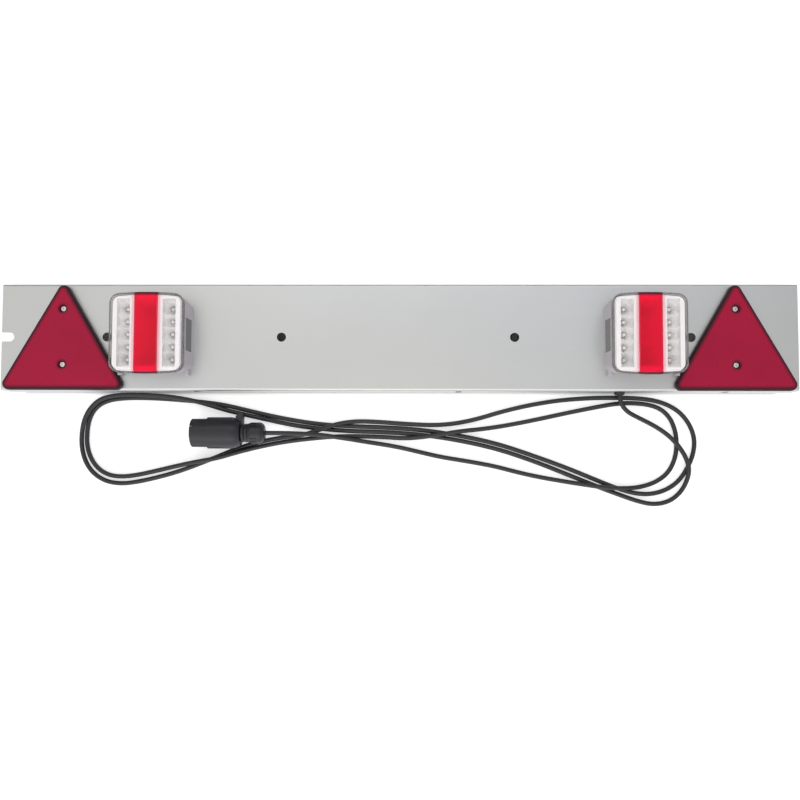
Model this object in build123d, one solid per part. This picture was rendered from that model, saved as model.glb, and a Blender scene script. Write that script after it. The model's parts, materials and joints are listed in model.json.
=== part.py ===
"""Trailer lighting board: folded panel, two LED lamps, two triangles, supply cable and 7-pin plug.

Millimetres. X runs along the board, Y up the board's face and Z out of the face. The board lies on its back:
z = 0 is the floor under its flanges, and the origin is the middle of the board's footprint.
"""
from build123d import *
import os
from math import cos, pi, radians, sin, sqrt, tan

# Board panel: one sheet with the two long edges bent back
board_length = 1040.0
board_height = 140.0
flange_depth = 32.0
sheet_thickness = 1.5
bend_radius = 3.0
fixing_hole_d = 12.0
fixing_inner_spacing = 304.5
fixing_outer_inset = 138.75
end_slot_width = 12.0
end_slot_depth = 16.5
flange_slot_width = 8.0
flange_slot_length = 16.0
flange_slot_z = 16.0
flange_slot_places = (-266.0, 80.0, 430.0)

# Lamps: the outline is the lens's, with bowed short edges
lamp_inset = 202.4
lamp_y = -0.3
lamp_depth = 41.5
lens_width = 94.4
lens_length = 103.9
lens_crown = 2.6
lens_corner = 13.0
lens_height = 9.5
lens_wall = 2.2
lens_edge = 3.6
red_strip_width = 29.0
red_strip_wrap = 5.0
strip_ridge_width = 2.4
strip_ridge_height = 0.6
seal_thickness = 0.8
housing_wall = 2.4
housing_floor = 2.5
housing_flare = 3.0
housing_tuck = 4.5
foot_spacing = 87.0
foot_width = 5.0
foot_reach = 3.0
foot_height = 8.0
window_length = 42.0
window_height = 20.0
window_z = 18.0

# Inside the lamps
circuit_width = 82.0
circuit_length = 86.0
circuit_corner = 6.0
circuit_thickness = 1.6
circuit_z = 14.0
post_d = 7.0
post_spacing_x = 66.0
post_spacing_y = 70.0
cup_column_spacing = 58.0
cup_count = 5
cup_pitch = 16.3
cup_opening = 16.3
cup_wall = 1.2
cup_throat_d = 6.2
cup_rim_d = 24.0
insert_plate = 1.5
insert_gap = 0.8
insert_clearance = 2.0
insert_step = 5.5
insert_flange = 1.2
flange_clearance = 0.5
trough_width = 26.0
trough_length = 84.0
trough_slope = 6.0
signal_led_d = 5.0
signal_led_height = 6.5
signal_led_collar = 0.4
signal_led_collar_height = 1.0
tail_led_size = 5.0
tail_led_height = 1.6
tail_led_count = 5
tail_led_pitch = 14.0
plate_led_size = 3.5
plate_led_height = 1.9
plate_led_pitch = 18.0
plate_led_inset = 3.5

# Lamp fixings and the inlet behind each lamp
stud_d = 5.0
stud_spacing = 50.0
stud_head_d = 10.0
stud_head_height = 3.0
stud_end = 2.0
stud_hole_clearance = 0.25
thread_clearance = 0.05
lamp_washer_d = 11.0
lamp_washer_thickness = 1.0
lamp_nut_flats = 8.0
lamp_nut_height = 4.0
grommet_neck_d = 11.0
grommet_lip_d = 15.0
grommet_lip = 2.5
grommet_dish_d = 5.0
grommet_dish_depth = 3.5

# Warning triangles
triangle_inset = 83.5
triangle_width = 156.0
triangle_corner = 8.0
triangle_depth = 9.5
holder_floor = 2.0
holder_rim = 2.4
holder_height = 5.8
triangle_lens_gap = 0.2
triangle_lens_inset = 0.4
triangle_lens_edge = 2.4
triangle_lens_wall = 2.4
boss_d = 12.0
boss_height = 4.4
well_clearance = 0.6
well_wall = 1.4
well_mouth_d = 11.6
triangle_screw_top_y = 36.0
triangle_screw_spacing = 73.0
triangle_screw_d = 4.0
triangle_screw_head_d = 7.6
triangle_screw_head_height = 2.6
triangle_screw_head_edge = 1.2
screw_recess_width = 0.9
screw_recess_length = 3.8
screw_recess_depth = 1.3
triangle_screw_end = 2.0
triangle_hole_clearance = 0.2
triangle_washer_d = 9.0
triangle_washer_thickness = 0.9
triangle_nut_flats = 7.0
triangle_nut_height = 3.2

# Supply cable and the gland that it leaves by
cable_d = 6.0
cable_clearance = 0.05
gland_x = 291.5
gland_z = 17.0
gland_lip_d = 14.6
gland_neck_d = 11.0
gland_reach = 4.0
gland_inner_lip = 3.5
gland_edge = 1.2

# Plug, lying on the floor with its pins towards the board's left end
plug_front_x = -270.3
plug_y = -125.0
plug_d = 41.4
plug_body_length = 64.2
sleeve_d = 37.4
sleeve_length = 21.3
sleeve_bore_d = 32.4
sleeve_bore_depth = 34.0
plug_edge = 1.5
shoulder_length = 13.0
shoulder_drop = 4.5
plug_collar_d = 22.4
bead_count = 2
bead_width = 4.9
bead_rise = 1.1
plug_neck_d = 18.6
plug_neck_length = 11.3
plug_nut_d = 27.8
plug_nut_length = 21.8
plug_nut_bevel = 1.7
plug_nut_bevel_length = 4.0
plug_nut_rounding = 8.5
plug_nut_end_d = 16.0
nut_thread_gap = 0.1
nut_rib_count = 12
nut_rib_width = 2.4
nut_rib_depth = 0.8
nut_rib_length = 12.0
key_slot_width = 1.6
key_slot_length = 3.4
key_slot_angle = 27.0
lug_length = 9.4
lug_overhang = 3.3
lug_width = 12.0
lug_reach = 5.5
lug_chamfer = 4.5
pin_insert_gap = 0.1
pin_insert_length = 16.0
pin_d = 4.4
pin_length = 13.0
pin_circle_d = 19.0
pin_ring_count = 6

# Route of the cable's middle line, from inside the gland to the plug: two rounds of a flat, loose hank
cable_route = [
    (291.5, -67.5, 17.0),
    (291.5, -82.0, 17.0),
    (301.0, -95.5, 14.3),
    (320.5, -104.3, 8.6),
    (340.0, -113.4, 4.6),
    (355.5, -124.3, 7.6),
    (368.5, -137.8, 9.9),
    (379.3, -154.0, 9.8),
    (384.6, -171.0, 9.7),
    (381.5, -188.6, 5.6),
    (372.3, -204.2, 3.0),
    (357.2, -214.8, 3.0),
    (337.3, -218.0, 3.0),
    (316.5, -213.3, 3.0),
    (294.0, -205.4, 3.0),
    (270.0, -196.6, 3.0),
    (224.0, -178.1, 3.0),
    (182.0, -161.4, 3.0),
    (131.0, -144.3, 3.0),
    (80.0, -133.2, 3.0),
    (30.0, -125.8, 3.0),
    (-20.0, -122.6, 3.0),
    (-65.0, -121.6, 3.0),
    (-106.0, -120.0, 3.0),
    (-143.0, -115.8, 3.0),
    (-184.0, -105.2, 3.0),
    (-213.0, -97.9, 3.0),
    (-232.0, -93.4, 5.4),
    (-251.0, -87.4, 9.3),
    (-277.0, -80.6, 9.5),
    (-308.0, -76.2, 8.8),
    (-345.0, -74.9, 8.8),
    (-374.0, -75.4, 8.8),
    (-395.5, -79.8, 9.2),
    (-410.0, -91.0, 9.2),
    (-418.6, -106.5, 7.5),
    (-422.8, -123.5, 4.2),
    (-423.4, -140.5, 3.0),
    (-420.0, -157.0, 3.0),
    (-412.5, -172.0, 3.0),
    (-400.5, -183.5, 3.0),
    (-385.0, -190.5, 3.0),
    (-367.0, -192.3, 3.0),
    (-348.0, -190.0, 3.0),
    (-322.0, -184.3, 3.0),
    (-295.0, -176.8, 3.0),
    (-268.0, -167.0, 3.0),
    (-240.0, -155.6, 3.0),
    (-211.0, -143.6, 3.0),
    (-180.0, -134.9, 3.0),
    (-151.0, -129.6, 3.6),
    (-126.0, -127.2, 8.4),
    (-105.0, -120.5, 9.8),
    (-82.0, -112.4, 9.9),
    (-56.0, -108.2, 6.2),
    (-24.0, -109.2, 3.0),
    (11.0, -112.0, 3.0),
    (56.0, -113.8, 3.0),
    (97.0, -107.8, 3.0),
    (148.0, -92.2, 3.0),
    (200.0, -81.6, 3.0),
    (248.0, -76.9, 3.0),
    (296.0, -76.1, 3.0),
    (329.0, -77.6, 3.0),
    (352.5, -82.6, 3.0),
    (373.0, -93.4, 3.0),
    (387.0, -110.3, 3.0),
    (394.0, -130.0, 3.0),
    (392.3, -150.0, 3.0),
    (384.5, -168.5, 3.0),
    (373.0, -186.2, 3.0),
    (356.0, -198.6, 3.0),
    (335.0, -204.6, 3.0),
    (312.5, -203.2, 3.0),
    (289.0, -196.0, 3.0),
    (266.0, -186.9, 3.0),
    (225.0, -170.0, 3.0),
    (183.0, -154.7, 3.0),
    (132.0, -137.6, 3.0),
    (80.0, -126.6, 3.0),
    (30.0, -119.4, 3.0),
    (-20.0, -116.3, 3.0),
    (-65.0, -115.0, 3.0),
    (-109.0, -112.6, 3.0),
    (-160.0, -104.2, 3.0),
    (-205.0, -93.2, 3.0),
    (-232.0, -86.9, 3.0),
    (-260.0, -83.0, 3.0),
    (-292.0, -80.3, 3.0),
    (-330.0, -78.8, 3.0),
    (-366.0, -79.2, 3.0),
    (-389.5, -82.8, 3.0),
    (-404.8, -92.2, 3.0),
    (-412.8, -107.0, 3.0),
    (-416.2, -124.0, 3.0),
    (-416.0, -141.0, 3.0),
    (-411.3, -157.0, 3.0),
    (-402.0, -171.0, 3.0),
    (-388.0, -180.3, 3.0),
    (-371.0, -183.2, 3.0),
    (-350.0, -181.3, 3.0),
    (-320.0, -174.6, 3.6),
    (-292.0, -168.0, 6.4),
    (-267.0, -162.8, 9.6),
    (-240.0, -158.4, 9.6),
    (-213.0, -149.9, 6.6),
    (-181.0, -142.3, 3.0),
    (-148.0, -136.0, 3.0),
    (-115.0, -131.4, 3.0),
    (-82.0, -128.6, 3.0),
    (-48.0, -128.4, 3.0),
    (-18.0, -129.4, 3.0),
    (9.0, -131.3, 4.8),
    (31.0, -129.7, 9.0),
    (57.0, -126.0, 9.6),
    (84.0, -121.4, 9.4),
    (112.0, -118.6, 4.6),
    (142.0, -114.1, 3.0),
    (180.0, -106.7, 3.0),
    (220.0, -97.9, 3.0),
    (260.0, -89.6, 3.0),
    (297.0, -83.0, 3.0),
    (327.5, -84.2, 3.0),
    (348.0, -89.8, 3.0),
    (361.2, -101.9, 3.0),
    (368.3, -118.6, 3.0),
    (370.3, -137.5, 3.0),
    (367.8, -157.0, 3.0),
    (358.8, -175.6, 3.0),
    (343.0, -187.8, 3.0),
    (322.0, -194.8, 4.6),
    (299.0, -196.6, 9.9),
    (276.0, -195.8, 9.8),
    (252.0, -192.6, 9.5),
    (222.0, -188.0, 3.8),
    (187.0, -182.0, 3.0),
    (158.0, -175.6, 3.0),
    (129.0, -167.9, 3.0),
    (93.0, -161.4, 3.0),
    (57.0, -155.8, 3.0),
    (30.0, -149.5, 3.0),
    (-4.0, -141.6, 3.0),
    (-42.0, -136.0, 4.6),
    (-64.0, -132.4, 8.9),
    (-82.0, -129.8, 10.5),
    (-103.0, -127.0, 13.9),
    (-124.0, -125.8, 17.4),
    (-148.0, -125.1, 19.9),
    (-168.0, -125.0, 20.7),
    (-185.0, -125.0, 20.7),
]

# Heights and places that follow from the sizes above
fixing_outer_spacing = board_length - 2 * fixing_outer_inset
lamp_x = board_length / 2 - lamp_inset
triangle_x = board_length / 2 - triangle_inset
panel_face = flange_depth
panel_back = flange_depth - sheet_thickness
housing_height = lamp_depth - lens_height - seal_thickness
lens_base = housing_height + seal_thickness
insert_top = lamp_depth - lens_wall - insert_gap
circuit_top = circuit_z + circuit_thickness
triangle_side = triangle_width + 2 * triangle_corner * (sqrt(3) - 1)
triangle_inradius = triangle_side / (2 * sqrt(3))
triangle_y = -board_height / 2 + triangle_inradius
plug_z = plug_d / 2
parts = {}


def cylinder(radius, low, high, x=0.0, y=0.0):
    """Upright cylinder between two heights."""
    return Pos(x, y, (low + high) / 2) * Cylinder(radius, high - low)


def block(size_x, size_y, low, high, x=0.0, y=0.0):
    """Upright block between two heights, centred on x, y."""
    return Pos(x, y, (low + high) / 2) * Box(size_x, size_y, high - low)


def revolved(points):
    """Solid of revolution about Z from a closed outline of (radius, height) points."""
    outline = Plane.XZ * make_face(Polyline(*points, close=True))
    return revolve(outline, Axis.Z)


def tube(outer_r, inner_r, low, high, x=0.0, y=0.0):
    """Upright ring between two heights."""
    return cylinder(outer_r, low, high, x, y) - cylinder(inner_r, low - 1, high + 1, x, y)


def hexagon_nut(flats, bore_r, low, high, x, y):
    """Hexagonal nut with bevelled corners."""
    corner_r = flats / sqrt(3)
    bevel = corner_r - flats / 2
    prism = extrude(RegularPolygon(corner_r, 6), high - low)
    rounded = revolved(
        [
            (0, 0),
            (flats / 2, 0),
            (corner_r, bevel / 2),
            (corner_r, high - low - bevel / 2),
            (flats / 2, high - low),
            (0, high - low),
        ]
    )
    return Pos(x, y, low) * (prism & rounded) - cylinder(bore_r, low - 1, high + 1, x, y)


def lamp_outline(width, length, corner):
    """Lamp's outline: straight sides, short edges bowed by the crown, rounded corners."""
    half_x = width / 2
    half_y = length / 2
    shoulder = half_y - lens_crown
    edges = [
        Line((half_x, -shoulder), (half_x, shoulder)),
        ThreePointArc((half_x, shoulder), (0, half_y), (-half_x, shoulder)),
        Line((-half_x, shoulder), (-half_x, -shoulder)),
        ThreePointArc((-half_x, -shoulder), (0, -half_y), (half_x, -shoulder)),
    ]
    outline = make_face(edges)
    return fillet(outline.vertices(), corner)


def lamp_prism(inset, low, high):
    """Upright prism of the lens's outline, inset all round."""
    outline = lamp_outline(lens_width - 2 * inset, lens_length - 2 * inset, lens_corner - inset)
    return extrude(Pos(0, 0, low) * outline, high - low)


def housing_form(inset, low):
    """Housing's sloping form from a height up to its rim: it flares in X and tucks in along Y."""
    share = 1 - low / housing_height
    foot = lamp_outline(
        lens_width - 2 * inset + 2 * housing_flare * share,
        lens_length - 2 * inset - 2 * housing_tuck * share,
        lens_corner - inset,
    )
    rim = lamp_outline(lens_width - 2 * inset, lens_length - 2 * inset, lens_corner - inset)
    return loft([Pos(0, 0, low) * foot, Pos(0, 0, housing_height) * rim], ruled=True)


def rounded_triangle(inset):
    """Triangle's outline about its centre, inset all round."""
    inradius = triangle_inradius - inset
    half = inradius * sqrt(3)
    outline = make_face(Polyline((-half, -inradius), (half, -inradius), (0, 2 * inradius), close=True))
    return fillet(outline.vertices(), triangle_corner - inset)


def triangle_prism(inset, low, high):
    """Upright prism of the triangle's outline."""
    return extrude(Pos(0, 0, low) * rounded_triangle(inset), high - low)


def spots(spacing, count):
    """Evenly spaced places about zero."""
    return [spacing * (i - (count - 1) / 2) for i in range(count)]


stud_places = [(0, y) for y in spots(stud_spacing, 2)]
screw_places = [
    (0, triangle_screw_top_y - triangle_y),
    (0, triangle_screw_top_y - triangle_screw_spacing - triangle_y),
]
cup_places = [(x, y) for x in spots(cup_column_spacing, 2) for y in spots(cup_pitch, cup_count)]


def make_board_panel():
    """Folded channel with its fixing holes, end slot, flange slots and the holes for what it carries."""
    outer = Pos(0, flange_depth / 2) * Rectangle(board_height, flange_depth)
    outer = fillet(outer.vertices().group_by(Axis.Y)[-1], bend_radius)
    inner = Pos(0, panel_back / 2) * Rectangle(board_height - 2 * sheet_thickness, panel_back)
    inner = fillet(inner.vertices().group_by(Axis.Y)[-1], bend_radius - sheet_thickness)
    panel = extrude(Plane.YZ * (outer - inner), board_length / 2, both=True)
    low = panel_back - 1
    high = panel_face + 1
    for spacing in (fixing_inner_spacing, fixing_outer_spacing):
        for x in spots(spacing, 2):
            panel -= cylinder(fixing_hole_d / 2, low, high, x)
    slot_end = -board_length / 2 + end_slot_depth - end_slot_width / 2
    panel -= cylinder(end_slot_width / 2, low, high, slot_end)
    slot_run = end_slot_depth - end_slot_width / 2
    panel -= block(2 * slot_run, end_slot_width, low, high, slot_end - slot_run)
    for side in (-1, 1):
        lamp_side_x = side * lamp_x
        for x, y in stud_places:
            panel -= cylinder(stud_d / 2 + stud_hole_clearance, low, high, lamp_side_x + x, lamp_y + y)
        panel -= cylinder(grommet_neck_d / 2, low, high, lamp_side_x, lamp_y)
        triangle_side_x = side * triangle_x
        hole_r = triangle_screw_d / 2 + triangle_hole_clearance
        for x, y in screw_places:
            panel -= cylinder(hole_r, low, high, triangle_side_x + x, triangle_y + y)
    flange_y = -board_height / 2 + sheet_thickness / 2
    slot = SlotOverall(flange_slot_length, flange_slot_width, rotation=90)
    slot_cut = extrude(Plane.XZ * slot, sheet_thickness, both=True)
    for x in flange_slot_places:
        panel -= Pos(x, flange_y, flange_slot_z) * slot_cut
    gland_cut = extrude(Plane.XZ * Circle(gland_neck_d / 2), sheet_thickness, both=True)
    panel -= Pos(gland_x, flange_y, gland_z) * gland_cut
    return panel


def make_lamp():
    """Pieces of one lamp about its middle, z = 0 on the panel's face, number plate side towards -X."""
    pieces = {}
    shell = housing_form(0, 0) - housing_form(housing_wall, housing_floor)
    window_box = block(
        2 * (housing_flare + housing_wall),
        window_length,
        window_z - window_height / 2,
        window_z + window_height / 2,
        -lens_width / 2,
    )
    pieces["plate_window"] = shell & window_box
    housing = shell - window_box
    for x in spots(foot_spacing, 2):
        foot_top = lens_length / 2 - housing_tuck
        foot_depth = lens_corner / 2 + foot_reach
        foot_y = -foot_top - foot_reach + foot_depth / 2
        tab = block(foot_width, foot_depth, 0, foot_height, x, foot_y)
        housing += tab - housing_form(housing_wall / 2, 0)
    for x in spots(post_spacing_x, 2):
        for y in spots(post_spacing_y, 2):
            housing += cylinder(post_d / 2, housing_floor / 2, circuit_z, x, y)
    for x, y in stud_places:
        housing -= cylinder(stud_d / 2 + stud_hole_clearance, -1, housing_floor + 1, x, y)
    housing -= cylinder(grommet_neck_d / 2, -1, housing_floor + 1)
    pieces["lamp_housing"] = housing

    seal_ring = lamp_prism(0, housing_height, lens_base)
    pieces["lamp_seal"] = seal_ring - lamp_prism(housing_wall, housing_height - 1, lens_base + 1)

    cover = lamp_prism(0, lens_base, lamp_depth)
    cover = fillet(cover.faces().sort_by(Axis.Z)[-1].edges(), lens_edge)
    cover -= lamp_prism(housing_wall, lens_base - 1, lamp_depth - lens_wall)
    strip = block(red_strip_width, lens_length + 2, lamp_depth - red_strip_wrap, lamp_depth + 1)
    pieces["red_lens"] = cover & strip
    clear = cover - strip
    ridge_length = lens_length - 2 * (lens_edge + lens_crown)
    ridge_x = red_strip_width / 2 + strip_ridge_width / 2
    for x in (-ridge_x, ridge_x):
        ridge_low = lamp_depth - lens_wall / 2
        clear += block(strip_ridge_width, ridge_length, ridge_low, lamp_depth + strip_ridge_height, x)
    pieces["clear_lens"] = clear

    circuit = RectangleRounded(circuit_width, circuit_length, circuit_corner)
    pieces["circuit_board"] = extrude(Pos(0, 0, circuit_z) * circuit, circuit_thickness)

    insert_inset = housing_wall + insert_clearance
    flange_low = insert_top - insert_step
    insert = lamp_prism(insert_inset, flange_low, insert_top)
    insert += lamp_prism(housing_wall + flange_clearance, flange_low, flange_low + insert_flange)
    insert -= lamp_prism(insert_inset + insert_plate, flange_low - 1, insert_top - insert_plate)
    bank_width = cup_opening + 2 * cup_wall
    column_length = cup_pitch * (cup_count - 1) + cup_opening
    bank_length = column_length + 2 * cup_wall
    for x in spots(cup_column_spacing, 2):
        insert += block(bank_width, bank_length, circuit_top, insert_top, x)
    trough_frame = trough_width + 2 * cup_wall
    insert += block(trough_frame, trough_length + 2 * cup_wall, circuit_top, insert_top)
    mouth = Pos(0, 0, insert_top) * Rectangle(trough_width, trough_length)
    floor_size = (trough_width - 2 * trough_slope, trough_length - 2 * trough_slope)
    insert -= loft([mouth, Pos(0, 0, circuit_top) * Rectangle(*floor_size)], ruled=True)
    throat_r = cup_throat_d / 2
    rim_r = cup_rim_d / 2
    middle_z = (circuit_top + insert_top) / 2
    middle_r = sqrt((throat_r**2 + rim_r**2) / 2)
    bowl_edges = [
        Line((0, circuit_top), (throat_r, circuit_top)),
        ThreePointArc((throat_r, circuit_top), (middle_r, middle_z), (rim_r, insert_top)),
        Line((rim_r, insert_top), (0, insert_top)),
        Line((0, insert_top), (0, circuit_top)),
    ]
    bowl = revolve(Plane.XZ * make_face(bowl_edges), Axis.Z)
    bowls = [Pos(0, y, 0) * bowl for y in spots(cup_pitch, cup_count)]
    column = bowls[0].fuse(*bowls[1:]) & block(cup_opening, column_length, circuit_top, insert_top)
    for x in spots(cup_column_spacing, 2):
        insert -= Pos(x, 0, 0) * column
    pieces["reflector_insert"] = insert

    led_r = signal_led_d / 2
    collar_r = led_r + signal_led_collar
    dome_z = signal_led_height - led_r
    led_edges = [
        Polyline(
            (0, signal_led_height),
            (0, 0),
            (collar_r, 0),
            (collar_r, signal_led_collar_height),
            (led_r, signal_led_collar_height),
            (led_r, dome_z),
        ),
        RadiusArc((led_r, dome_z), (0, signal_led_height), -led_r),
    ]
    led = revolve(Plane.XZ * make_face(led_edges), Axis.Z)
    pieces["signal_leds"] = Compound(children=[Pos(x, y, circuit_top) * led for x, y in cup_places])
    tail_top = circuit_top + tail_led_height
    tail_led = block(tail_led_size, tail_led_size, circuit_top, tail_top)
    tail_places = spots(tail_led_pitch, tail_led_count)
    pieces["tail_leds"] = Compound(children=[Pos(0, y, 0) * tail_led for y in tail_places])
    plate_x = -circuit_width / 2 + plate_led_inset
    plate_low = circuit_z - plate_led_height
    plate_led = block(plate_led_size, plate_led_size, plate_low, circuit_z, plate_x)
    plate_places = spots(plate_led_pitch, 2)
    pieces["plate_leds"] = Compound(children=[Pos(0, y, 0) * plate_led for y in plate_places])

    washer_low = -sheet_thickness - lamp_washer_thickness
    nut_low = washer_low - lamp_nut_height
    thread_r = stud_d / 2 + thread_clearance
    studs = []
    washers = []
    nuts = []
    for x, y in stud_places:
        head = cylinder(stud_head_d / 2, housing_floor, housing_floor + stud_head_height, x, y)
        studs.append(head + cylinder(stud_d / 2, nut_low - stud_end, housing_floor, x, y))
        washers.append(tube(lamp_washer_d / 2, thread_r, washer_low, -sheet_thickness, x, y))
        nuts.append(hexagon_nut(lamp_nut_flats, thread_r, nut_low, washer_low, x, y))
    pieces["lamp_studs"] = Compound(children=studs)
    pieces["lamp_washers"] = Compound(children=washers)
    pieces["lamp_nuts"] = Compound(children=nuts)

    neck_r = grommet_neck_d / 2
    lip_r = grommet_lip_d / 2
    dish_r = grommet_dish_d / 2
    back = -sheet_thickness - grommet_lip
    pieces["lamp_grommet"] = revolved(
        [
            (0, back + grommet_dish_depth),
            (dish_r, back + grommet_dish_depth),
            (dish_r, back),
            (lip_r - grommet_lip / 2, back),
            (lip_r, back + grommet_lip / 2),
            (lip_r, -sheet_thickness),
            (neck_r, -sheet_thickness),
            (neck_r, housing_floor),
            (lip_r, housing_floor),
            (lip_r - grommet_lip / 2, housing_floor + grommet_lip),
            (0, housing_floor + grommet_lip),
        ]
    )
    return pieces


def make_triangle():
    """Pieces of one warning triangle about its centre, z = 0 on the panel's face."""
    pieces = {}
    holder = triangle_prism(0, 0, holder_height)
    holder -= triangle_prism(holder_rim, holder_floor, holder_height + 1)
    lens_under = triangle_depth - triangle_lens_wall
    skirt_inset = holder_rim + triangle_lens_gap
    skirt_low = holder_floor + triangle_lens_gap
    lens = triangle_prism(triangle_lens_inset, holder_height, triangle_depth)
    lens = fillet(lens.faces().sort_by(Axis.Z)[-1].edges(), triangle_lens_edge)
    lens += triangle_prism(skirt_inset, skirt_low, holder_height)
    lens -= triangle_prism(skirt_inset + triangle_lens_wall, skirt_low - 1, lens_under)
    well_r = triangle_screw_head_d / 2 + well_clearance
    well_low = boss_height + triangle_lens_gap
    well_mouth_r = well_mouth_d / 2
    well = revolved(
        [
            (0, well_low - 1),
            (well_r, well_low - 1),
            (well_r, lens_under),
            (well_mouth_r, triangle_depth),
            (well_mouth_r, triangle_depth + 1),
            (0, triangle_depth + 1),
        ]
    )
    hole_r = triangle_screw_d / 2 + triangle_hole_clearance
    thread_r = triangle_screw_d / 2 + thread_clearance
    washer_low = -sheet_thickness - triangle_washer_thickness
    nut_low = washer_low - triangle_nut_height
    head_top = boss_height + triangle_screw_head_height
    screw = cylinder(triangle_screw_head_d / 2, boss_height, head_top)
    screw = fillet(screw.edges().sort_by(Axis.Z)[-1], triangle_screw_head_edge)
    recess_low = head_top - screw_recess_depth
    screw -= block(screw_recess_length, screw_recess_width, recess_low, head_top + 1)
    screw -= block(screw_recess_width, screw_recess_length, recess_low, head_top + 1)
    screw += cylinder(triangle_screw_d / 2, nut_low - triangle_screw_end, boss_height)
    screws = []
    washers = []
    nuts = []
    for x, y in screw_places:
        holder += cylinder(boss_d / 2, holder_floor / 2, boss_height, x, y)
        holder -= cylinder(hole_r, -1, boss_height + 1, x, y)
        lens += cylinder(well_r + well_wall, well_low, triangle_depth - triangle_lens_wall / 2, x, y)
        lens -= Pos(x, y, 0) * well
        screws.append(Pos(x, y, 0) * screw)
        washers.append(tube(triangle_washer_d / 2, thread_r, washer_low, -sheet_thickness, x, y))
        nuts.append(hexagon_nut(triangle_nut_flats, thread_r, nut_low, washer_low, x, y))
    pieces["triangle_holder"] = holder
    pieces["triangle_lens"] = lens
    pieces["triangle_screws"] = Compound(children=screws)
    pieces["triangle_washers"] = Compound(children=washers)
    pieces["triangle_nuts"] = Compound(children=nuts)
    return pieces


def make_gland():
    """Rubber bush in the lower flange; its outer lip points down the board."""
    lip_r = gland_lip_d / 2
    neck_r = gland_neck_d / 2
    bore_r = cable_d / 2 + cable_clearance
    bush = revolved(
        [
            (bore_r, -sheet_thickness - gland_inner_lip),
            (lip_r - gland_edge, -sheet_thickness - gland_inner_lip),
            (lip_r, -sheet_thickness - gland_inner_lip + gland_edge),
            (lip_r, -sheet_thickness),
            (neck_r, -sheet_thickness),
            (neck_r, 0),
            (lip_r, 0),
            (lip_r - gland_edge, gland_reach),
            (bore_r, gland_reach),
        ]
    )
    mouth = Plane((gland_x, -board_height / 2, gland_z), x_dir=(1, 0, 0), z_dir=(0, -1, 0))
    return mouth * bush


def make_cable():
    """Round cable along its route, with each bend as wide as its two runs allow."""
    points = [Vector(*point) for point in cable_route]
    radii = []
    for before, here, after in zip(points, points[1:], points[2:]):
        turn = (here - before).get_angle(after - here)
        shorter = min((here - before).length, (after - here).length)
        radii.append(0.45 * shorter / tan(radians(turn) / 2))
    print("bend radii", [round(radius) for radius in radii], "least", round(min(radii), 1))
    path = FilletPolyline(*points, radius=radii)
    section = Plane(points[0], z_dir=points[1] - points[0]) * Circle(cable_d / 2)
    cable = sweep(section, path=path)
    expected = path.length * pi * cable_d**2 / 4
    print("cable length", round(path.length), "volume share", round(cable.volume / expected, 5))
    return cable


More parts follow.
